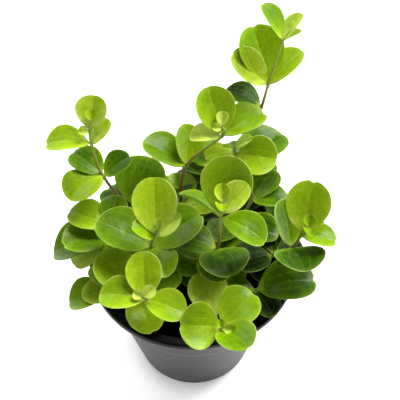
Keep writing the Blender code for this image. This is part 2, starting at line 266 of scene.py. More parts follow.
def potPlastic():
    plastic = Finish("pot_plastic_fine", Metallic=0, Specular_IOR_Level=0.12)
    place = plastic.objectPlace()
    x, y, z = plastic.parts(place)
    grain = plastic.noiseAt(place, potLook["grainScale"], 3, 0.6)
    haze = plastic.noiseAt(place, potLook["hazeScale"], 4, 0.6)
    streaks = plastic.noiseAt(plastic.stretched(place, potLook["streakScales"]), 1, 3, 0.6)
    scuffs = plastic.step(plastic.noiseAt(place, potLook["scuffScale"], 5, 0.7), 0.62, 0.78)
    dust = plastic.step(haze, 0.45, 0.75)
    # where the surface is: inside the wall or on the lip, both painted near black as shade, or on a
    # thin painted highlight line below the lip or at the collar's foot
    lipFoot = pot["height"] - pot["lipHeight"]
    collarFoot = pot["height"] - pot["collarDrop"]
    across = (x * x + y * y) ** 0.5
    slope = (wallRadius(pot["height"] / 2) - wallRadius(0)) / (pot["height"] / 2)
    inside = plastic.step(z * slope + wallRadius(0) - across, 0.2 * mm, 0.8 * mm)
    lip = plastic.step(z, lipFoot - 0.3 * mm, lipFoot + 0.1 * mm)
    # painted shade: the inner wall and the lip are darkened near black
    lipAndInsideShade = plastic.add("Math", {"operation": "MAXIMUM"}, {0: inside, 1: lip})
    # painted highlights: thin light lines just below the lip and at the collar's foot
    lipHighlight = plastic.line(z - lipFoot - 0.3 * mm, 0.7 * mm)
    collarHighlight = plastic.line(z - collarFoot - 0.3 * mm, 0.8 * mm)
    paintedHighlights = (lipHighlight * 0.5 + collarHighlight * 0.8) * (1 - inside) * (0.5 + haze * 0.6)
    # painted light and shade: lighter towards the top, darker near the floor
    upward = plastic.step(z, 0, pot["height"] * 0.7)
    colour = plastic.mix(dust * potLook["dustShare"], potLook["body"], potLook["dust"])
    colour = plastic.mix(upward * potLook["paintedTopLightShare"], colour, potLook["upper"])
    colour = plastic.mix(scuffs * potLook["scuffShare"], colour, potLook["scuff"])
    # painted shade on the inner wall and the lip
    colour = plastic.mix(lipAndInsideShade * potLook["lipAndInsideShadeShare"], colour, potLook["lipAndInsideShade"])
    colour = plastic.mix(paintedHighlights * potLook["highlightLineShare"], colour, potLook["paintedHighlightLine"])
    roughness = potLook["roughness"] + haze * 0.12 + scuffs * 0.15 + streaks * 0.06
    normal = plastic.bump(grain * 0.5 + streaks * 0.4, 0.25, potLook["grainDepth"])
    plastic.connect(Base_Color=colour, Roughness=roughness, Normal=normal)
    return plastic.material


def turnedShape(profile, steps):
    # a closed body of revolution from its (radius, height) profile
    shape = bmesh.new()
    corners = [shape.verts.new((radius, 0, height)) for radius, height in profile]
    for start, end in zip(corners, corners[1:]):
        shape.edges.new((start, end))
    bmesh.ops.spin(
        shape,
        geom=shape.verts[:] + shape.edges[:],
        cent=(0, 0, 0),
        axis=(0, 0, 1),
        angle=math.tau,
        steps=steps,
        use_merge=True,
    )
    bmesh.ops.remove_doubles(shape, verts=shape.verts, dist=pot["weldGap"])
    bmesh.ops.recalc_face_normals(shape, faces=shape.faces)
    return shape


def roundRings(shape, width, sharper):
    # rounds the level ring edges that turn by more than an angle
    nearly, axisGap = 0.01 * mm, 2 * mm
    rings = []
    for edge in shape.edges:
        level = abs(edge.verts[0].co.z - edge.verts[1].co.z) < nearly
        radii = [vert.co.xy.length for vert in edge.verts]
        around = level and min(radii) > axisGap and abs(radii[0] - radii[1]) < nearly
        if around and edge.is_manifold and edge.calc_face_angle() > sharper:
            rings.append(edge)
    bmesh.ops.bevel(
        shape, geom=rings, offset=width, offset_type="OFFSET", segments=3, profile=0.5,
        affect="EDGES", material=-1, clamp_overlap=True,
    )


def potProfile():
    lipFoot = pot["height"] - pot["lipHeight"]
    collarFoot = pot["height"] - pot["collarDrop"]
    bodyTop = collarFoot - pot["wall"]
    inner = (pot["wall"] + pot["baseRound"], bodyTop, collarFoot, pot["height"])
    outer = (lipFoot, collarFoot, bodyTop, pot["baseRound"])
    return [
        (0, pot["wall"]),
        (wallRadius(0) - pot["wall"] - pot["baseRound"], pot["wall"]),
        *((wallRadius(height) - pot["wall"], height) for height in inner),
        (pot["rimRadius"] - pot["lipRound"], pot["height"]),
        (pot["rimRadius"], pot["height"] - pot["lipRound"]),
        (pot["rimRadius"], lipFoot),
        *((wallRadius(height), height) for height in outer),
        (wallRadius(0) - pot["baseRound"], 0),
        (0, 0),
    ]


def drilled(piece):
    # takes the drain holes out of the pot's floor
    drills = bmesh.new()
    for index in range(pot["drainHoles"]):
        angle = math.tau * index / pot["drainHoles"]
        middle = Vector((math.cos(angle), math.sin(angle), 0)) * pot["drainCircle"]
        bmesh.ops.create_cone(
            drills, cap_ends=True, segments=pot["drainSides"], radius1=pot["drainRadius"],
            radius2=pot["drainRadius"], depth=pot["wall"] * 4, matrix=Matrix.Translation(middle),
        )
    mesh = bpy.data.meshes.new("drills")
    drills.to_mesh(mesh)
    drills.free()
    cutters = bpy.data.objects.new("drills", mesh)
    bpy.context.scene.collection.objects.link(cutters)
    cut = piece.modifiers.new("drain", "BOOLEAN")
    cut.object, cut.operation, cut.solver = cutters, "DIFFERENCE", "EXACT"
    solid = piece.evaluated_get(bpy.context.evaluated_depsgraph_get())
    holed = bpy.data.meshes.new_from_object(solid)
    piece.modifiers.clear()
    piece.data = holed
    bpy.data.objects.remove(cutters)
    holed.shade_smooth()
    holed.set_sharp_from_angle(angle=math.radians(pot["creaseAbove"]))


def makePot():
    shape = turnedShape(potProfile(), pot["turnSteps"])
    roundRings(shape, pot["edgeRound"], math.radians(pot["roundAbove"]))
    piece = pieceOf("pot_turned", shape, [potPlastic()], ["pot"])
    drilled(piece)
    print("pot made:", len(piece.data.polygons), "faces")


def pottingSoil():
    earth = Finish("potting_soil_fine", Metallic=0, Specular_IOR_Level=0.03)
    place = earth.objectPlace()
    clumps = earth.noiseAt(place, soilLook["clumpScale"], 4, 0.65)
    flecks = earth.step(earth.noiseAt(place, soilLook["fleckScale"], 3, 0.6), 0.6, 0.75)
    grit = earth.noiseAt(place, soilLook["gritScale"], 4, 0.7)
    colour = earth.mix(clumps, soilLook["wet"], soilLook["dry"])
    colour = earth.mix(flecks * soilLook["fleckShare"], colour, soilLook["fleck"])
    roughness = soilLook["roughness"] - clumps * 0.2
    normal = earth.bump(clumps + grit, 0.8, soilLook["gritDepth"])
    earth.connect(Base_Color=colour, Roughness=roughness, Normal=normal)
    return earth.material


def soilBrim():
    return wallRadius(soil["top"]) - pot["wall"] - soil["fitGap"]


def soilHeight(radius, angle):
    # the crown's height, with the lumps of loose potting soil
    outward = radius / soilBrim()
    x, y = radius * math.cos(angle), radius * math.sin(angle)
    falloff, fineness, octaves = 0.8, 2, 4
    lumps = noise.fractal(Vector((x, y, 0)) * soil["lumpScale"], falloff, fineness, octaves)
    lumps *= soil["lumpHeight"]
    return soil["top"] + soil["crown"] * (1 - outward * outward) + soil["crustRise"] + lumps


def soilCrust():
    shape = bmesh.new()
    bmesh.ops.create_circle(
        shape, cap_ends=True, cap_tris=True, segments=soil["crustSides"], radius=soilBrim()
    )
    spokes = [edge for edge in shape.edges if len(edge.link_faces) == 2]
    bmesh.ops.subdivide_edges(shape, edges=spokes, cuts=soil["crustCuts"], use_grid_fill=True)
    bmesh.ops.triangulate(shape, faces=shape.faces)
    for vert in shape.verts:
        vert.co.z = soilHeight(vert.co.xy.length, math.atan2(vert.co.y, vert.co.x))
    bmesh.ops.solidify(shape, geom=shape.faces[:], thickness=soil["crustDepth"])
    bmesh.ops.recalc_face_normals(shape, faces=shape.faces)
    return shape


def addCrumb(shape, double, draw):
    radius, angle = (soilBrim() - mm) * math.sqrt(draw.random()), draw.uniform(0, math.tau)
    size = draw.uniform(*soil["crumbSizes"]) * (2 if double else 1)
    place = Vector((radius * math.cos(angle), radius * math.sin(angle), soilHeight(radius, angle)))
    widths = draw.uniform(*soil["crumbWidths"]), draw.uniform(*soil["crumbWidths"])
    spread = Matrix.Diagonal((*widths, draw.uniform(*soil["crumbHeights"]), 1))
    turn = Matrix.Rotation(draw.uniform(0, math.tau), 4, Vector((draw.random(), draw.random(), 1)))
    made = bmesh.ops.create_icosphere(
        shape, subdivisions=2 if size > soil["fineAbove"] else 1, radius=size / 2,
        matrix=Matrix.Translation(place) @ turn @ spread,
    )
    for vert in made["verts"]:
        vert.co += noise.noise_vector(vert.co * soil["crumbScale"]) * size * soil["crumbDents"]


def makeSoil(material):
    shape = soilCrust()
    draw = random.Random(soil["seed"])
    noise.seed_set(soil["seed"])  # noise vectors start from the clock otherwise
    for index in range(soil["crumbs"]):
        addCrumb(shape, index % soil["doubleEvery"] == 0, draw)
    piece = pieceOf("soil_crumbs", shape, [material])
    print("soil made:", len(piece.data.polygons), "faces")


stem = {
    "rootDepth": 12 * mm,
    "straightRise": 3 * mm,
    "baseRadius": 1.1 * mm,
    "tipRadius": 0.55 * mm,
    "routeStep": 8 * mm,
    "fineStep": 1.6 * mm,
    "sides": 12,
    "nodeSwelling": 0.3,
    "nodeReach": 1.1 * mm,
    "greenLength": 60 * mm,
}

stemLook = {
    "young": tint(150, 172, 62),
    "middle": tint(150, 140, 80),
    "old": tint(104, 72, 42),
    "streak": tint(172, 146, 104),
    "node": tint(132, 152, 66),
    "streakScales": (1800, 1800, 160),
    "streakDepth": 0.2 * mm,
    "roughness": 0.42,
    "streakShare": 0.4,
    "nodeShare": 0.6,
}

leafForm = {
    "bladeThickness": 0.9 * mm,
    "widthShare": 0.84,
    "stalkShare": 0.06,
    "stalkHalfWidth": 0.8 * mm,
    "widestAt": 0.57,
    "fullness": 0.44,
    "cup": 0.16,
    "fold": 0.12,
    "foldRound": 0.12,
    "arch": 0.10,
    "flatRise": 55,  # degrees of rise at which a leaf no longer arches
    "bladeHeart": 0.58,
    "bladeStations": (0.18, 0.42, 0.7, 0.92),
    "budStations": (0.25, 0.58, 0.88),
    "budLength": 12,  # a leaf shorter than this, in millimetres, is a bud
}

room = {
    "clearance": 0.4 * mm,
    "potGap": 2 * mm,
    "whorlSpan": 5 * mm,
    "whorlStep": 0.4 * mm,
    "turnNudge": 7,  # degrees
    "riseNudge": 6,  # degrees
    "mostNudges": 5,
    "sizes": (1, 0.85, 0.7),
}

shade = {
    "whorls": ((88, 21), (78, 20)),  # height and leaf length in millimetres
    "leaves": 3,
    "stray": 15,  # degrees
    "rise": 25,  # degrees
    "sizes": (0.85, 1.1),
    "seed": 7,
    "bareStems": ("shoot_front_left", "shoot_front_right"),
    # the oldest, near-black green for the lower leaves: their age, and painted shade between the stems
    "age": 1,
    "lighterWhereLit": {  # stems whose lower leaves get a lighter green as painted light, where more light reaches them, and that age
        "shoot_left": 0.75,
        "shoot_left_low": 0.5,
        "shoot_front_left_low": 0.2,
        "shoot_crown": 0.25,
        "shoot_bud": 0.7,
        "shoot_back": 0.82,
        "shoot_left_middle": 0.5,
        "shoot_centre": 0.5,
        "shoot_tall": 0.6,
    },
}

Leaf = namedtuple(
    "Leaf", "root heading rise length roll breadth age", defaults=(0, leafForm["widthShare"], 0)
)

# Each shoot's stations from the soil to its tip: a place in millimetres, and the leaves that grow
# there as (heading, rise, length), then a leaf's roll and its width where they are not the usual ones
shoots = {
    "shoot_tall": [
        ((12, 18), []),
        ((23, 34, 98), [(80, 8, 20), (5, 8, 19)]),
        ((32, 44, 131), [(155, 10, 19)]),
        ((33, 37, 149), [(116, 50, 26), (172, 41, 22, -28, 0.68), (30, 36, 20.5, -10)]),
        ((37, 37, 171), [(138, 44, 16.5, 15, 0.84), (38, 43, 13, -20, 0.75), (10, 20, 9, -45, 0.6)]),
    ],
    "shoot_left": [
        ((-14, 10), []),
        ((-28, 15, 86), [(100, 0, 19)]),
        ((-42, 20, 110), [(228, 0, 20.5, 0, 0.95), (145, 15, 19), (28, 25, 16, 0, 0.95)]),
        ((-45, 22, 128), [(185, 3, 20), (28, 42, 14)]),
        ((-45, 24, 134), [(78, 47, 15.5, 0, 0.95), (190, 5, 5, -35, 0.9)]),
        ((-44, 25, 138), [(82, 42, 5.5, 0, 0.95)]),
    ],
    "shoot_crown": [
        ((-4, 14), []),
        ((-6, 20, 90), [(100, 5, 19)]),
        ((-3, 22, 114), [(165, 28, 23), (88, 45, 20, 40)]),
        ((13, 16, 138), [(118, 48, 21.5), (25, 16, 21), (180, -3, 14)]),
        ((12.5, 16.5, 142), [(86, 41, 7, 0, 0.75), (185, 10, 4.5, -35, 0.9)]),
    ],
    "shoot_bud": [
        ((12, 6), []),
        ((27, 11, 103), [(350, 10, 17), (50, 20, 19)]),
        ((21, 18, 118.5), [(38, 10, 26.5)]),
        ((19, 20, 124), [(190, 5, 14), (350, 0, 19, 35, 0.95)]),
        ((18.5, 20, 127), [(24, 22, 9.5, 20, 0.5), (178, 8, 6, -20, 0.5)]),
    ],
    "shoot_centre": [
        ((6, -4), []),
        ((11, -13, 97), [(285, 14, 19.5, 0, 1.12), (165, 10, 20)]),
        ((12, -13, 119), [(72, 55, 26), (158, 20, 20, 40), (330, -10, 21, 0, 0.76)]),
        ((12, -16, 125), [(25, 42, 16)]),
        ((12.5, -13.5, 128), [(95, 42, 8, 0, 0.85), (266, 15, 6, 0, 1)]),
    ],
    "shoot_right": [
        ((20, -3), []),
        ((34, -8, 84), []),
        ((44, -13, 98), [(278, 22, 20, 0, 1.1), (108, 45, 22, 25)]),
        ((47, -13, 107), [(73, 48, 24, 0, 0.8), (345, 2, 15)]),
        ((49.5, -13, 112), [(90, 42, 5.5, 0, 1), (268, 12, 6, 0, 0.95)]),
    ],
    "shoot_left_middle": [
        ((-8, -6), []),
        ((-18, -13, 98), [(163, 20, 27), (292, 8, 19), (27, 17, 26.5)]),
        ((-15, -18, 112), [(93, 46, 25, 0, 0.76), (35, 34, 14.5), (178, 38, 12)]),
        ((-14, -17, 115), [(70, 62, 6, 0, 0.6), (200, 50, 4)]),
    ],
    "shoot_front_left": [
        ((-12, -18), []),
        ((-26, -29, 86), [(300, -12, 20), (137, 25, 23), (20, 10, 22)]),
        ((-19, -40, 98), [(95, 38, 20, 0, 0.75), (176, 5, 19), (338, -3, 18)]),
        ((-20, -40.5, 101), [(30, 24, 6.5, 30, 0.85), (158, 18, 4.5, -30, 0.95)]),
    ],
    "shoot_front_right": [
        ((5, -20), []),
        ((10, -39, 82), [(110, 25, 21)]),
        ((12, -49, 92), [(42, 17, 19.5, 0, 0.95), (188, 18, 18, -30, 1.05), (306, 25, 19.5)]),
        ((12, -51.5, 95), [(355, 2, 6, 30, 0.7), (110, 40, 4)]),
    ],
    "shoot_right_low": [
        ((22, -14), []),
        ((28, -26, 84), [(6, 8, 27), (180, 0, 14), (300, -5, 15)]),
    ],
    "shoot_back_left": [
        ((-20, 2), []),
        ((-29, 15, 93), [(83, 35, 26, 0, 1), (35, 20, 23)]),
    ],
    "shoot_left_low": [
        ((-22, -8), []),
        ((-40, 0, 88), [(188, -13, 27), (222, -10, 20)]),
        ((-38, 2, 94), [(165, 12, 21), (80, 20, 16)]),
    ],
    "shoot_front_left_low": [
        ((-23, -17), []),
        ((-37, -24, 80), [(190, -12, 20), (120, 10, 16)]),
    ],
    "shoot_back": [
        ((4, 24), []),
        ((6, 40, 84), [(30, 10, 22), (140, 0, 17), (90, 0, 21), (260, 40, 15)]),
        ((7, 44, 93), [(35, 35, 14), (155, 35, 14), (95, 15, 18)]),
    ],
    "shoot_back_right": [
        ((20, 18), []),
        ((25, 36, 88), [(350, 5, 18), (55, 10, 20)]),
        ((26, 39, 95), [(10, 35, 13), (110, 35, 13)]),
    ],
    "shoot_right_back": [
        ((25, 4), []),
        ((43, 9, 86), [(345, 5, 21), (40, 10, 21), (90, 25, 18)]),
    ],
    "shoot_far_left": [
        ((-14, 22), []),
        ((-26, 36, 80), [(185, -5, 18), (115, 0, 22)]),
        ((-27, 39, 86), [(125, 5, 16), (65, 0, 16)]),
    ],
}


def smoothRoute(stations, spacing):
    # a smooth curve through a shoot's stations, from its root in the soil
    foot = Vector((*stations[0][0], soil["top"] / mm)) * mm
    knots = [foot - Vector((0, 0, stem["rootDepth"])), foot + Vector((0, 0, stem["straightRise"]))]
    knots += [Vector(place) * mm for place, _ in stations[1:]]
    knots.append(knots[-1] * 2 - knots[-2])
    points = knots[:2]
    for before, start, end, after in zip(knots, knots[1:], knots[2:], knots[3:]):
        leave, arrive = (end - before) / 2, (after - start) / 2
        steps = max(2, round((end - start).length / spacing))
        for step in range(1, steps + 1):
            t = step / steps
            fromStart = start * (2 * t**3 - 3 * t**2 + 1) + leave * (t**3 - 2 * t**2 + t)
            points.append(fromStart + end * (3 * t**2 - 2 * t**3) + arrive * (t**3 - t**2))
    return points


def outline(u):
    # half width of a blade, as a share of its widest
    blade = max(0.0, (u - leafForm["stalkShare"]) / (1 - leafForm["stalkShare"]))
    swell = math.log(0.5) / math.log(leafForm["widestAt"])
    return max(0.0, math.sin(math.pi * blade**swell)) ** leafForm["fullness"]


def leafSurface(leaf, u, v):
    length = leaf.length * mm
    widest = length * leaf.breadth / 2
    side = v * max(leafForm["stalkHalfWidth"] * (1 - u), widest * outline(u))
    arch = leafForm["arch"] * (1 - leaf.rise / leafForm["flatRise"]) * length * 4 * u * (1 - u)
    crease = leafForm["foldRound"] * widest
    fold = leafForm["fold"] * (math.hypot(side, crease) - crease)
    return Vector((length * u, side, arch + leafForm["cup"] * side**2 / widest + fold))


def leafFrame(leaf):
    turn = Matrix.Rotation(math.radians(leaf.heading), 4, "Z")
    tilt = Matrix.Rotation(math.radians(-leaf.rise), 4, "Y")
    twist = Matrix.Rotation(math.radians(leaf.roll), 4, "X")
    return Matrix.Translation(leaf.root) @ turn @ tilt @ twist


def bladeTemplate(stations):
    # a flat leaf in (u, v) as a fan of triangles on two levels, 0 above and -1 below
    sheet = bmesh.new()
    bmesh.ops.create_circle(
        sheet, cap_ends=True, cap_tris=True, segments=2 * len(stations) + 3, radius=1
    )
    heart = min(sheet.verts, key=lambda vert: vert.co.length)
    rim = [vert for vert in sheet.verts if vert != heart]
    rim.sort(key=lambda vert: math.atan2(vert.co.y, vert.co.x))
    right = [(u, -1) for u in (0, *stations)]
    left = [(u, 1) for u in reversed((0, *stations))]
    for vert, (u, v) in zip(rim, [*right, (1, 0), *left]):
        vert.co = (u, v, 0)
    heart.co = (leafForm["bladeHeart"], 0, 0)
    bmesh.ops.solidify(sheet, geom=sheet.faces[:], thickness=1)
    bmesh.ops.recalc_face_normals(sheet, faces=sheet.faces)
    corners = [tuple(vert.co) for vert in sheet.verts]
    faces = [[vert.index for vert in face.verts] for face in sheet.faces]
    sheet.free()
    return corners, faces


bladeShape = bladeTemplate(leafForm["bladeStations"])
budShape = bladeTemplate(leafForm["budStations"])


def leafBody(leaf, margin=0):
    # the CAD model's plainer leaf, grown by a margin, for the test of what touches
    template, faces = budShape if leaf.length < leafForm["budLength"] else bladeShape
    place = leafFrame(leaf)
    corners = []
    for u, v, level in template:
        point = leafSurface(leaf, u, v)
        point.x += margin if u == 1 else 0
        point.y += margin * v
        point.z += (level + 0.5) * (leafForm["bladeThickness"] + 2 * margin)
        corners.append(place @ point)
    return corners, faces


def stemBody(points):
    # a square tube round a stem, for the same test
    ring = [Vector((x, y, 0)) * stem["baseRadius"] for x, y in ((1, 1), (-1, 1), (-1, -1), (1, -1))]
    corners = [point + corner for point in points for corner in ring]
    faces = []
    for first in range(0, len(corners) - 4, 4):
        for side, following in ((0, 1), (1, 2), (2, 3), (3, 0)):
            faces.append((first + side, first + following, first + 4 + following, first + 4 + side))
    return corners, faces


def nearPot(point):
    # whether a leaf's corner here would touch the pot or its soil
    radius = math.hypot(point.x, point.y)
    if radius < wallRadius(pot["height"]) - pot["wall"] - room["potGap"]:
        return point.z < soil["top"] + soil["crown"] + room["potGap"]
    return radius < pot["rimRadius"] + room["potGap"] and point.z < pot["height"] + room["potGap"]


def extent(corners):
    middle = sum(corners, Vector()) / len(corners)
    return middle, max((corner - middle).length for corner in corners)


class Thicket:
    # the stems and leaves placed so far, which a new leaf stays clear of
    def __init__(self):
        self.bodies = []

    def add(self, owner, root, corners, faces):
        middle, reach = extent(corners)
        self.bodies.append((owner, root, middle, reach, BVHTree.FromPolygons(corners, faces)))

    def isClear(self, owner, leaf):
        corners, faces = leafBody(leaf, room["clearance"])
        if any(nearPot(corner) for corner in corners):
            return False
        middle, reach = extent(corners)
        tree = BVHTree.FromPolygons(corners, faces)
        for other, root, otherMiddle, otherReach, otherTree in self.bodies:
            joined = other == owner and (root is None or (root - leaf.root).length < room["whorlSpan"])
            far = (middle - otherMiddle).length > reach + otherReach
            if not joined and not far and tree.overlap(otherTree):
                return False
        return True

    def settle(self, owner, leaf):
        # the leaf, turned, lifted or shortened until it is clear, or none
        steps = range(-room["mostNudges"], room["mostNudges"] + 1)
        nudges = [(turn * turn + lift * lift, turn, lift) for turn in steps for lift in steps]
        for size in room["sizes"]:
            for _, turn, lift in sorted(nudges):
                heading = leaf.heading + turn * room["turnNudge"]
                rise = leaf.rise + lift * room["riseNudge"]
                bent = leaf._replace(heading=heading, rise=rise, length=leaf.length * size)
                if self.isClear(owner, bent):
                    self.add(owner, bent.root, *leafBody(bent))
                    return [bent]
        return []


def stationLeaves(stations, ages, points):
    leaves = []
    for (place, grown), digits in zip(stations[1:], ages):
        station = Vector(place) * mm
        below = max((point for point in points if point.z < station.z - mm), key=lambda point: point.z)
        down = (below - station).normalized() * room["whorlStep"]
        for index, (values, digit) in enumerate(zip(grown, digits, strict=True)):
            leaves.append(Leaf(station + down * index, *values)._replace(age=int(digit) / 10))
    return leaves


def shadeWhorl(points, height, length, age, draw):
    # a ring of lower leaves, which the photo shows only as a dark mass
    leaves = []
    firstHeading = draw.uniform(0, 360)
    for index in range(shade["leaves"]):
        stray = draw.uniform(-shade["stray"], shade["stray"])
        heading = firstHeading + index * 360 / shade["leaves"] + stray
        rise, size = draw.uniform(0, shade["rise"]), length * draw.uniform(*shade["sizes"])
        level = height * mm - index * room["whorlStep"]
        for start, end in zip(points, points[1:]):
            if start.z <= level < end.z:
                root = start.lerp(end, (level - start.z) / (end.z - start.z))
                leaves.append(Leaf(root, heading, rise, size, age=age))
    return leaves


def placedLeaves(routes):
    thicket = Thicket()
    for name, points in routes.items():
        thicket.add(name, None, *stemBody(points))
    wanted = []
    for name, points in routes.items():
        wanted += [(name, leaf) for leaf in stationLeaves(shoots[name], leafAgesAndShade[name], points)]
    draw = random.Random(shade["seed"])
    for height, length in shade["whorls"]:
        for name, points in routes.items():
            if name not in shade["bareStems"]:
                age = shade["lighterWhereLit"].get(name, shade["age"])
                wanted += [(name, leaf) for leaf in shadeWhorl(points, height, length, age, draw)]
    leaves = {name: [] for name in routes}
    for name, leaf in wanted:
        leaves[name] += thicket.settle(name, leaf)
    return leaves


fineLeaf = {
    "segments": 40,
    "rings": 22,
    "budSegments": 28,
    "budRings": 14,
    "heart": 0.55,  # where along the blade the sphere's middle lies
    "fullLength": 20,  # a shorter leaf is thinner, with shallower details
    "middleThickness": 0.85 * mm,
    "stalkThickness": 1.35 * mm,
    "stalkBlend": 0.2,
    "rimPower": 0.45,  # lower is squarer
    "groove": 0.22 * mm,
    "grooveWidth": 0.7 * mm,
    "edgeLift": 0.25 * mm,
    "wave": 0.22 * mm,
    "waveCounts": (2, 3),
    "notch": 0.035,
    "notchShares": (0, 0.3, 1),
    "notchWidth": 0.45,
    "notchFrom": 0.8,
    "budCup": 0.55,
    "budCurl": 0.3,
    "curlFrom": 0.45,
    "ageStray": 0.05,
    "seed": 11,
}

leafLook = {
    # the blade from the youngest leaf to the oldest; the near-black oldest end also serves as painted
    # shade for the lower leaves
    "ages": (
        (0.0, tint(198, 218, 98)),
        (0.1, tint(173, 197, 54)),
        (0.25, tint(144, 175, 22)),
        (0.5, tint(102, 140, 3)),
        (0.75, tint(50, 84, 2)),
        (1.0, tint(7, 19, 1)),
    ),
    "speckle": tint(126, 156, 34),
    "vein": tint(180, 206, 66),
    "stalk": tint(160, 180, 60),
    "softRim": tint(176, 206, 74),
    # a thin pale line at the rim: partly the leaf's pale edge, partly painted highlight
    "edge": tint(200, 218, 116),
    "underside": tint(116, 148, 44),
    "mottleScale": 190,
    "patchScale": 520,
    "speckleScale": 1700,
    "edgeScale": 130,
    "midribWidth": 0.09,
    "sideVeins": (0.36, 0.7),
    "sideVeinWidth": 0.06,
    "reliefDepth": 0.22 * mm,
    "roughness": 0.26,
    # how much older each pattern can make a place look
    "mottleAge": 0.28,
    "patchAge": 0.2,
    "speckleAge": 0.24,
    "toneAge": 0.08,
    "tipAge": 0.22,
    "rimYouth": 0.13,
    # how much a detail shows on the youngest leaf, and how much less on the oldest
    "speckleShares": (0.24, 0.21),
    "veinShares": (0.62, 0.45),
    "softRimShares": (0.16, 0.13),
    "edgeHighlightShares": (0.85, 0.55),
    "stalkShare": 0.6,
    "undersideShare": 0.5,
}

# How old each leaf of a station looks, one digit a leaf: 0 is the youngest lime, 9 the oldest green;
# the digits also hold painted light and shade, an older, darker digit where the lamps leave a leaf too
# bright and a younger, lighter one where they leave it too dark
leafAgesAndShade = {
    "shoot_tall": ("87", "9", "423", "510"),
    "shoot_left": ("8", "478", "41", "20", "3"),
    "shoot_crown": ("8", "64", "340", "00"),
    "shoot_bud": ("77", "7", "23", "00"),
    "shoot_centre": ("87", "366", "1", "23"),
    "shoot_right": ("", "86", "34", "34"),
    "shoot_left_middle": ("655", "204", "03"),
    "shoot_front_left": ("325", "344", "00"),
    "shoot_front_right": ("2", "546", "13"),
    "shoot_right_low": ("789",),
    "shoot_back_left": ("64",),
    "shoot_left_low": ("50", "36"),
    "shoot_front_left_low": ("50",),
    "shoot_back": ("6867", "585"),
    "shoot_back_right": ("76", "44"),
    "shoot_right_back": ("669",),
    "shoot_far_left": ("87", "77"),
}


def growLeaf(shape, layers, leaf, draw):
    # a closed leaf: the upper and lower halves of a sphere laid along the leaf's surface
    small = leaf.length < leafForm["budLength"]
    made = bmesh.ops.create_uvsphere(
        shape,
        u_segments=fineLeaf["budSegments" if small else "segments"],
        v_segments=fineLeaf["budRings" if small else "rings"],
        radius=1,
    )
    place = leafFrame(leaf)
    length = leaf.length * mm
    widest = length * leaf.breadth / 2
    size = min(1, leaf.length / fineLeaf["fullLength"])
    power = math.log(fineLeaf["heart"]) / math.log(0.5)
    notch = draw.choice(fineLeaf["notchShares"]) * fineLeaf["notch"] * length
    wavePhase, waveCount = draw.uniform(0, math.tau), draw.choice(fineLeaf["waveCounts"])
    tone = draw.random()
    age = min(1, max(0, leaf.age + draw.uniform(-fineLeaf["ageStray"], fineLeaf["ageStray"])))
    nearly = 1e-4
    for vert in made["verts"]:
        x, y, z = vert.co
        chord = math.sqrt(max(0.0, 1 - x * x))
        u = (0.5 + x / 2) ** power if x > -1 else 0
        v = max(-1.0, min(1.0, y / chord)) if chord > nearly else 0
        rim = min(1.0, math.hypot(x, y))
        blade = min(1.0, max(0.0, (u - leafForm["stalkShare"]) / fineLeaf["stalkBlend"]))
        point = leafSurface(leaf, u, v)
        thinning = (fineLeaf["middleThickness"] - fineLeaf["stalkThickness"]) * blade
        level = math.copysign(abs(z) ** fineLeaf["rimPower"], z) if abs(z) > nearly else 0
        point.z += level * (fineLeaf["stalkThickness"] + thinning) * size / 2
        hollow = math.exp(-((point.y / fineLeaf["grooveWidth"]) ** 2)) * (1 - rim**6)
        point.z -= fineLeaf["groove"] * size * blade * hollow
        point.z += fineLeaf["edgeLift"] * size * blade * v**4
        ripple = rim**3 * math.sin(waveCount * math.atan2(y, x) + wavePhase)
        point.z += fineLeaf["wave"] * size * blade * ripple
        if small:
            point.z += fineLeaf["budCup"] * point.y**2 / widest
            point.z += fineLeaf["budCurl"] * length * max(0.0, u - fineLeaf["curlFrom"]) ** 2
        tipward = max(0.0, (u - fineLeaf["notchFrom"]) / (1 - fineLeaf["notchFrom"]))
        point.x -= notch * math.exp(-((v / fineLeaf["notchWidth"]) ** 2)) * tipward**2
        vert.co = place @ point
        vert[layers["spot"]] = Vector((u, v, rim))
        vert[layers["tone"]] = (age, tone, 1.0 if z < 0 else 0.0, 1.0)


def growStem(shape, layers, points, nodes):
    # a round tapering stem, swollen where leaves grow
    for vert in shape.verts:
        vert.tag = True
    lengths = [0.0]
    for start, end in zip(points, points[1:]):
        lengths.append(lengths[-1] + (end - start).length)
    made = bmesh.ops.create_circle(shape, segments=stem["sides"], radius=1)
    ring = made["verts"]
    edges = list(dict.fromkeys(edge for vert in ring for edge in vert.link_edges))
    heading, ringRadius, middle = Vector((0, 0, 1)), 1, Vector()
    for index, point in enumerate(points):
        along = lengths[index] / lengths[-1]
        nearest = min((point - node).length for node in nodes)
        nodeNearness = math.exp(-((nearest / stem["nodeReach"]) ** 2))
        radius = stem["baseRadius"] + (stem["tipRadius"] - stem["baseRadius"]) * along
        radius *= 1 + stem["nodeSwelling"] * nodeNearness
        onward = (points[min(index + 1, len(points) - 1)] - points[max(index - 1, 0)]).normalized()
        if index:
            made = bmesh.ops.extrude_edge_only(shape, edges=edges)
            ring = [item for item in made["geom"] if isinstance(item, bmesh.types.BMVert)]
            grown = [item for item in made["geom"] if isinstance(item, bmesh.types.BMEdge)]
            edges = [edge for edge in grown if all(vert in ring for vert in edge.verts)]
        bend = heading.rotation_difference(onward).to_matrix()
        below = min(1, (lengths[-1] - lengths[index]) / stem["greenLength"])
        for vert in ring:
            vert.co = point + bend @ (vert.co - middle) * (radius / ringRadius)
            vert[layers["spot"]] = Vector((below, nodeNearness, 0))
        heading, ringRadius, middle = onward, radius, point
    sides = [face for face in shape.faces if not any(vert.tag for vert in face.verts)]
    rim = [edge for edge in shape.edges if edge.is_boundary]
    bmesh.ops.recalc_face_normals(shape, faces=sides)
    caps = bmesh.ops.holes_fill(shape, edges=rim, sides=stem["sides"])["faces"]
    bmesh.ops.recalc_face_normals(shape, faces=sides + caps)
    for face in sides + caps:
        face.material_index = 1


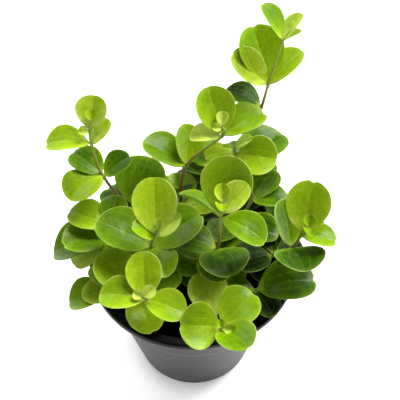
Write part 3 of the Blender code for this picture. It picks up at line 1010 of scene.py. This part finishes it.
def leafGreen():
    green = Finish(
        "leaf_green",
        Metallic=0,
        Specular_IOR_Level=0.05,
        Coat_Roughness=0.2,
        Subsurface_Weight=0.12,
        Subsurface_Radius=(0.6, 1.0, 0.05),
        Subsurface_Scale=1.2 * mm,
    )
    u, v, rim = green.parts(green.attribute("leafSpot"))
    age, tone, under = green.parts(green.attribute("leafTone"))
    place = green.objectPlace()

    def fading(detail):
        youngest, less = leafLook[detail]
        return youngest - age * less

    mottle = green.noiseAt(place, leafLook["mottleScale"], 3, 0.6)
    patches = green.noiseAt(place, leafLook["patchScale"], 2, 0.5)
    speckle = green.noiseAt(place, leafLook["speckleScale"], 3, 0.6)
    # the midrib, and a pair of fainter veins on each side of it
    wander = green.absolute(v) + (patches - 0.5) * 0.12
    width = leafLook["sideVeinWidth"]
    inner, outer = (green.line(wander - side, width) for side in leafLook["sideVeins"])
    midrib = green.line(v, leafLook["midribWidth"]) * (1 - u * 0.5)
    veins = midrib * (0.3 + tone * 0.3) * (1.1 - age * 0.6) + (inner + outer) * (1 - u * 0.8) * 0.42
    # age carries each leaf's painted light and shade as well as its age
    # a leaf looks younger at its stalk and rim
    agedAndShaded = age + (mottle - 0.5) * leafLook["mottleAge"] + (patches - 0.5) * leafLook["patchAge"]
    agedAndShaded = agedAndShaded + (speckle - 0.5) * leafLook["speckleAge"] + (tone - 0.5) * leafLook["toneAge"]
    agedAndShaded = agedAndShaded + (u - 0.55) * leafLook["tipAge"] - rim**4 * leafLook["rimYouth"]
    colour = green.add("ValToRGB", {"stops": leafLook["ages"]}, {0: agedAndShaded})
    flecks = green.step(speckle, 0.45, 0.8)
    nearStalk = 1 - green.step(u, 0.03, 0.2)
    softRim = green.step(rim, 0.7, 1)
    # the edge line: partly the leaf's pale rim, partly a painted highlight where the rim catches
    # light, broken into stretches
    brokenHighlight = green.step(green.noiseAt(place, leafLook["edgeScale"], 1), 0.3, 0.62)
    edge = green.step(rim, 0.95, 0.99) * brokenHighlight
    colour = green.mix(flecks * fading("speckleShares"), colour, leafLook["speckle"])
    colour = green.mix(veins * fading("veinShares"), colour, leafLook["vein"])
    colour = green.mix(nearStalk * leafLook["stalkShare"], colour, leafLook["stalk"])
    colour = green.mix(softRim * fading("softRimShares"), colour, leafLook["softRim"])
    colour = green.mix(edge * fading("edgeHighlightShares"), colour, leafLook["edge"])
    colour = green.mix(under * leafLook["undersideShare"], colour, leafLook["underside"])
    roughness = leafLook["roughness"] + mottle * 0.14 + speckle * 0.12 + under * 0.3 - age * 0.04
    halves = (v * v + 0.02) ** 0.5 * (1 - green.step(u, 0.4, 1) * 0.5) * 5
    relief = halves + speckle * 0.8 + patches * 0.9 + mottle * 0.8 - veins * 1.1
    normal = green.bump(relief, 0.6, leafLook["reliefDepth"])
    # leaves between young and old are the glossy ones
    gloss = age * (1 - age) * (0.5 + green.step(speckle, 0.4, 0.65) * 0.9)
    green.connect(Base_Color=colour, Roughness=roughness, Coat_Weight=gloss, Normal=normal)
    return green.material


def stemSkin():
    skin = Finish(
        "stem_skin", Metallic=0, Specular_IOR_Level=0.12, Subsurface_Weight=0.1,
        Subsurface_Radius=(1.0, 0.5, 0.25), Subsurface_Scale=mm,
    )
    below, node, _ = skin.parts(skin.attribute("leafSpot"))
    streaks = skin.noiseAt(skin.stretched(skin.objectPlace(), stemLook["streakScales"]), 1, 3, 0.6)
    depth = below + (streaks - 0.5) * 0.3
    colour = skin.mix(skin.step(depth, 0.12, 0.45), stemLook["young"], stemLook["middle"])
    colour = skin.mix(skin.step(depth, 0.4, 0.95), colour, stemLook["old"])
    streaked = skin.step(streaks, 0.5, 0.75)
    colour = skin.mix(streaked * stemLook["streakShare"], colour, stemLook["streak"])
    colour = skin.mix(node * stemLook["nodeShare"], colour, stemLook["node"])
    roughness = stemLook["roughness"] + streaks * 0.16
    normal = skin.bump(streaks, 0.5, stemLook["streakDepth"])
    skin.connect(Base_Color=colour, Roughness=roughness, Normal=normal)
    return skin.material


def makeShoots():
    routes = {name: smoothRoute(stations, stem["routeStep"]) for name, stations in shoots.items()}
    leaves = placedLeaves(routes)
    print("leaves placed:", sum(len(grown) for grown in leaves.values()))
    green, skin = leafGreen(), stemSkin()
    draw = random.Random(fineLeaf["seed"])
    for name, stations in shoots.items():
        shape = bmesh.new()
        layers = {
            "spot": shape.verts.layers.float_vector.new("leafSpot"),
            "tone": shape.verts.layers.float_color.new("leafTone"),
        }
        tip = routes[name][-1]
        for leaf in leaves[name]:
            growLeaf(shape, layers, leaf, draw)
        nodes = [leaf.root for leaf in leaves[name]] or [tip]
        growStem(shape, layers, smoothRoute(stations, stem["fineStep"]), nodes)
        pieceOf(name.replace("shoot_", "leafy_"), shape, [green, skin], [name])
    print("shoots made:", len(shoots))


studio = {
    "floorSize": 3,
    "floorDrop": 0.05 * mm,
    "floorGlow": 0.66,
    # painted contact shadow: where the floor's glow fades down near the pot
    "paintedShadowFade": (29 * mm, 42 * mm),  # the glow halves from the outer radius to the inner
    "zenith": 0.22,
    "horizon": 0.31,
    "backdrop": 1,
    "skyFade": (0.1, 0.5),
    "backdropFade": (0.06, 0.16),
    "photoWidth": 400,
    "focalPixels": 574,
    "sensorWidth": 36,
    "cameraPlace": (3.3 * mm, -167.9 * mm, 300.2 * mm),
    "cameraAim": (3.3 * mm, 0, 115 * mm),
    "cameraReach": (0.01, 10),
    "lampAim": (0, 0, 100 * mm),
}

lamps = {
    "key": {"place": (0.4, 0.36, 0.8), "size": 0.7, "power": 17},
    "sheen": {"place": (-0.35, 0.5, 0.55), "size": 0.5, "power": 2},
}


def makeFloor():
    shape = bmesh.new()
    bmesh.ops.create_grid(
        shape, x_segments=1, y_segments=1, size=studio["floorSize"],
        matrix=Matrix.Translation((0, 0, -studio["floorDrop"])),
    )
    mesh = bpy.data.meshes.new("floor")
    shape.to_mesh(mesh)
    shape.free()
    floor = bpy.data.objects.new("floor", mesh)
    bpy.context.scene.collection.objects.link(floor)
    paper = Finish(
        "pale_floor", Base_Color=(0.95, 0.95, 0.95, 1), Roughness=0.9,
        Emission_Strength=studio["floorGlow"],
    )
    x, y, _ = paper.parts(paper.objectPlace())
    # the paper glows so that it stays over-exposed white, and the glow is halved near the pot as a
    # painted contact shadow
    paintedContactShadow = paper.step((x * x + y * y) ** 0.5, *studio["paintedShadowFade"])
    paper.connect(Emission_Color=paper.mix(paintedContactShadow, (0.5, 0.5, 0.5, 1), (1, 1, 1, 1)))
    mesh.materials.append(paper.material)


def makeSky():
    # a soft room: a bright backdrop near the floor and a dimmer ceiling
    world = bpy.data.worlds.new("soft_studio")
    sky = Patch(world, "Background")
    height = sky.parts(sky.add("TexCoord", None, None, "Generated"))[2]
    upward = sky.step(height, *studio["skyFade"])
    level = studio["horizon"] + upward * (studio["zenith"] - studio["horizon"])
    nearFloor = 1 - sky.step(height, *studio["backdropFade"])
    sky.connect(Strength=level + nearFloor * (studio["backdrop"] - studio["horizon"]))
    sky.shader.inputs["Color"].default_value = (1, 1, 1, 1)
    bpy.context.scene.world = world


def aimed(name, data, place, aim):
    holder = bpy.data.objects.new(name, data)
    holder.location = place
    holder.rotation_euler = (Vector(aim) - Vector(place)).to_track_quat("-Z", "Y").to_euler()
    bpy.context.scene.collection.objects.link(holder)
    return holder


def makeStudio():
    makeFloor()
    makeSky()
    for name, lamp in lamps.items():
        light = bpy.data.lights.new(name, "AREA")
        light.shape, light.size, light.energy = "DISK", lamp["size"], lamp["power"]
        aimed(name, light, lamp["place"], studio["lampAim"])
    lens = bpy.data.cameras.new("camera")
    lens.lens = studio["focalPixels"] / studio["photoWidth"] * studio["sensorWidth"]
    lens.sensor_width = studio["sensorWidth"]
    lens.clip_start, lens.clip_end = studio["cameraReach"]
    bpy.context.scene.camera = aimed("camera", lens, studio["cameraPlace"], studio["cameraAim"])
    bpy.context.scene.view_settings.view_transform = "Standard"
    print("studio made")


makeStudio()
makePot()
earth = pottingSoil()
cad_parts["soil"].data.materials.clear()
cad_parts["soil"].data.materials.append(earth)
makeSoil(earth)
makeShoots()
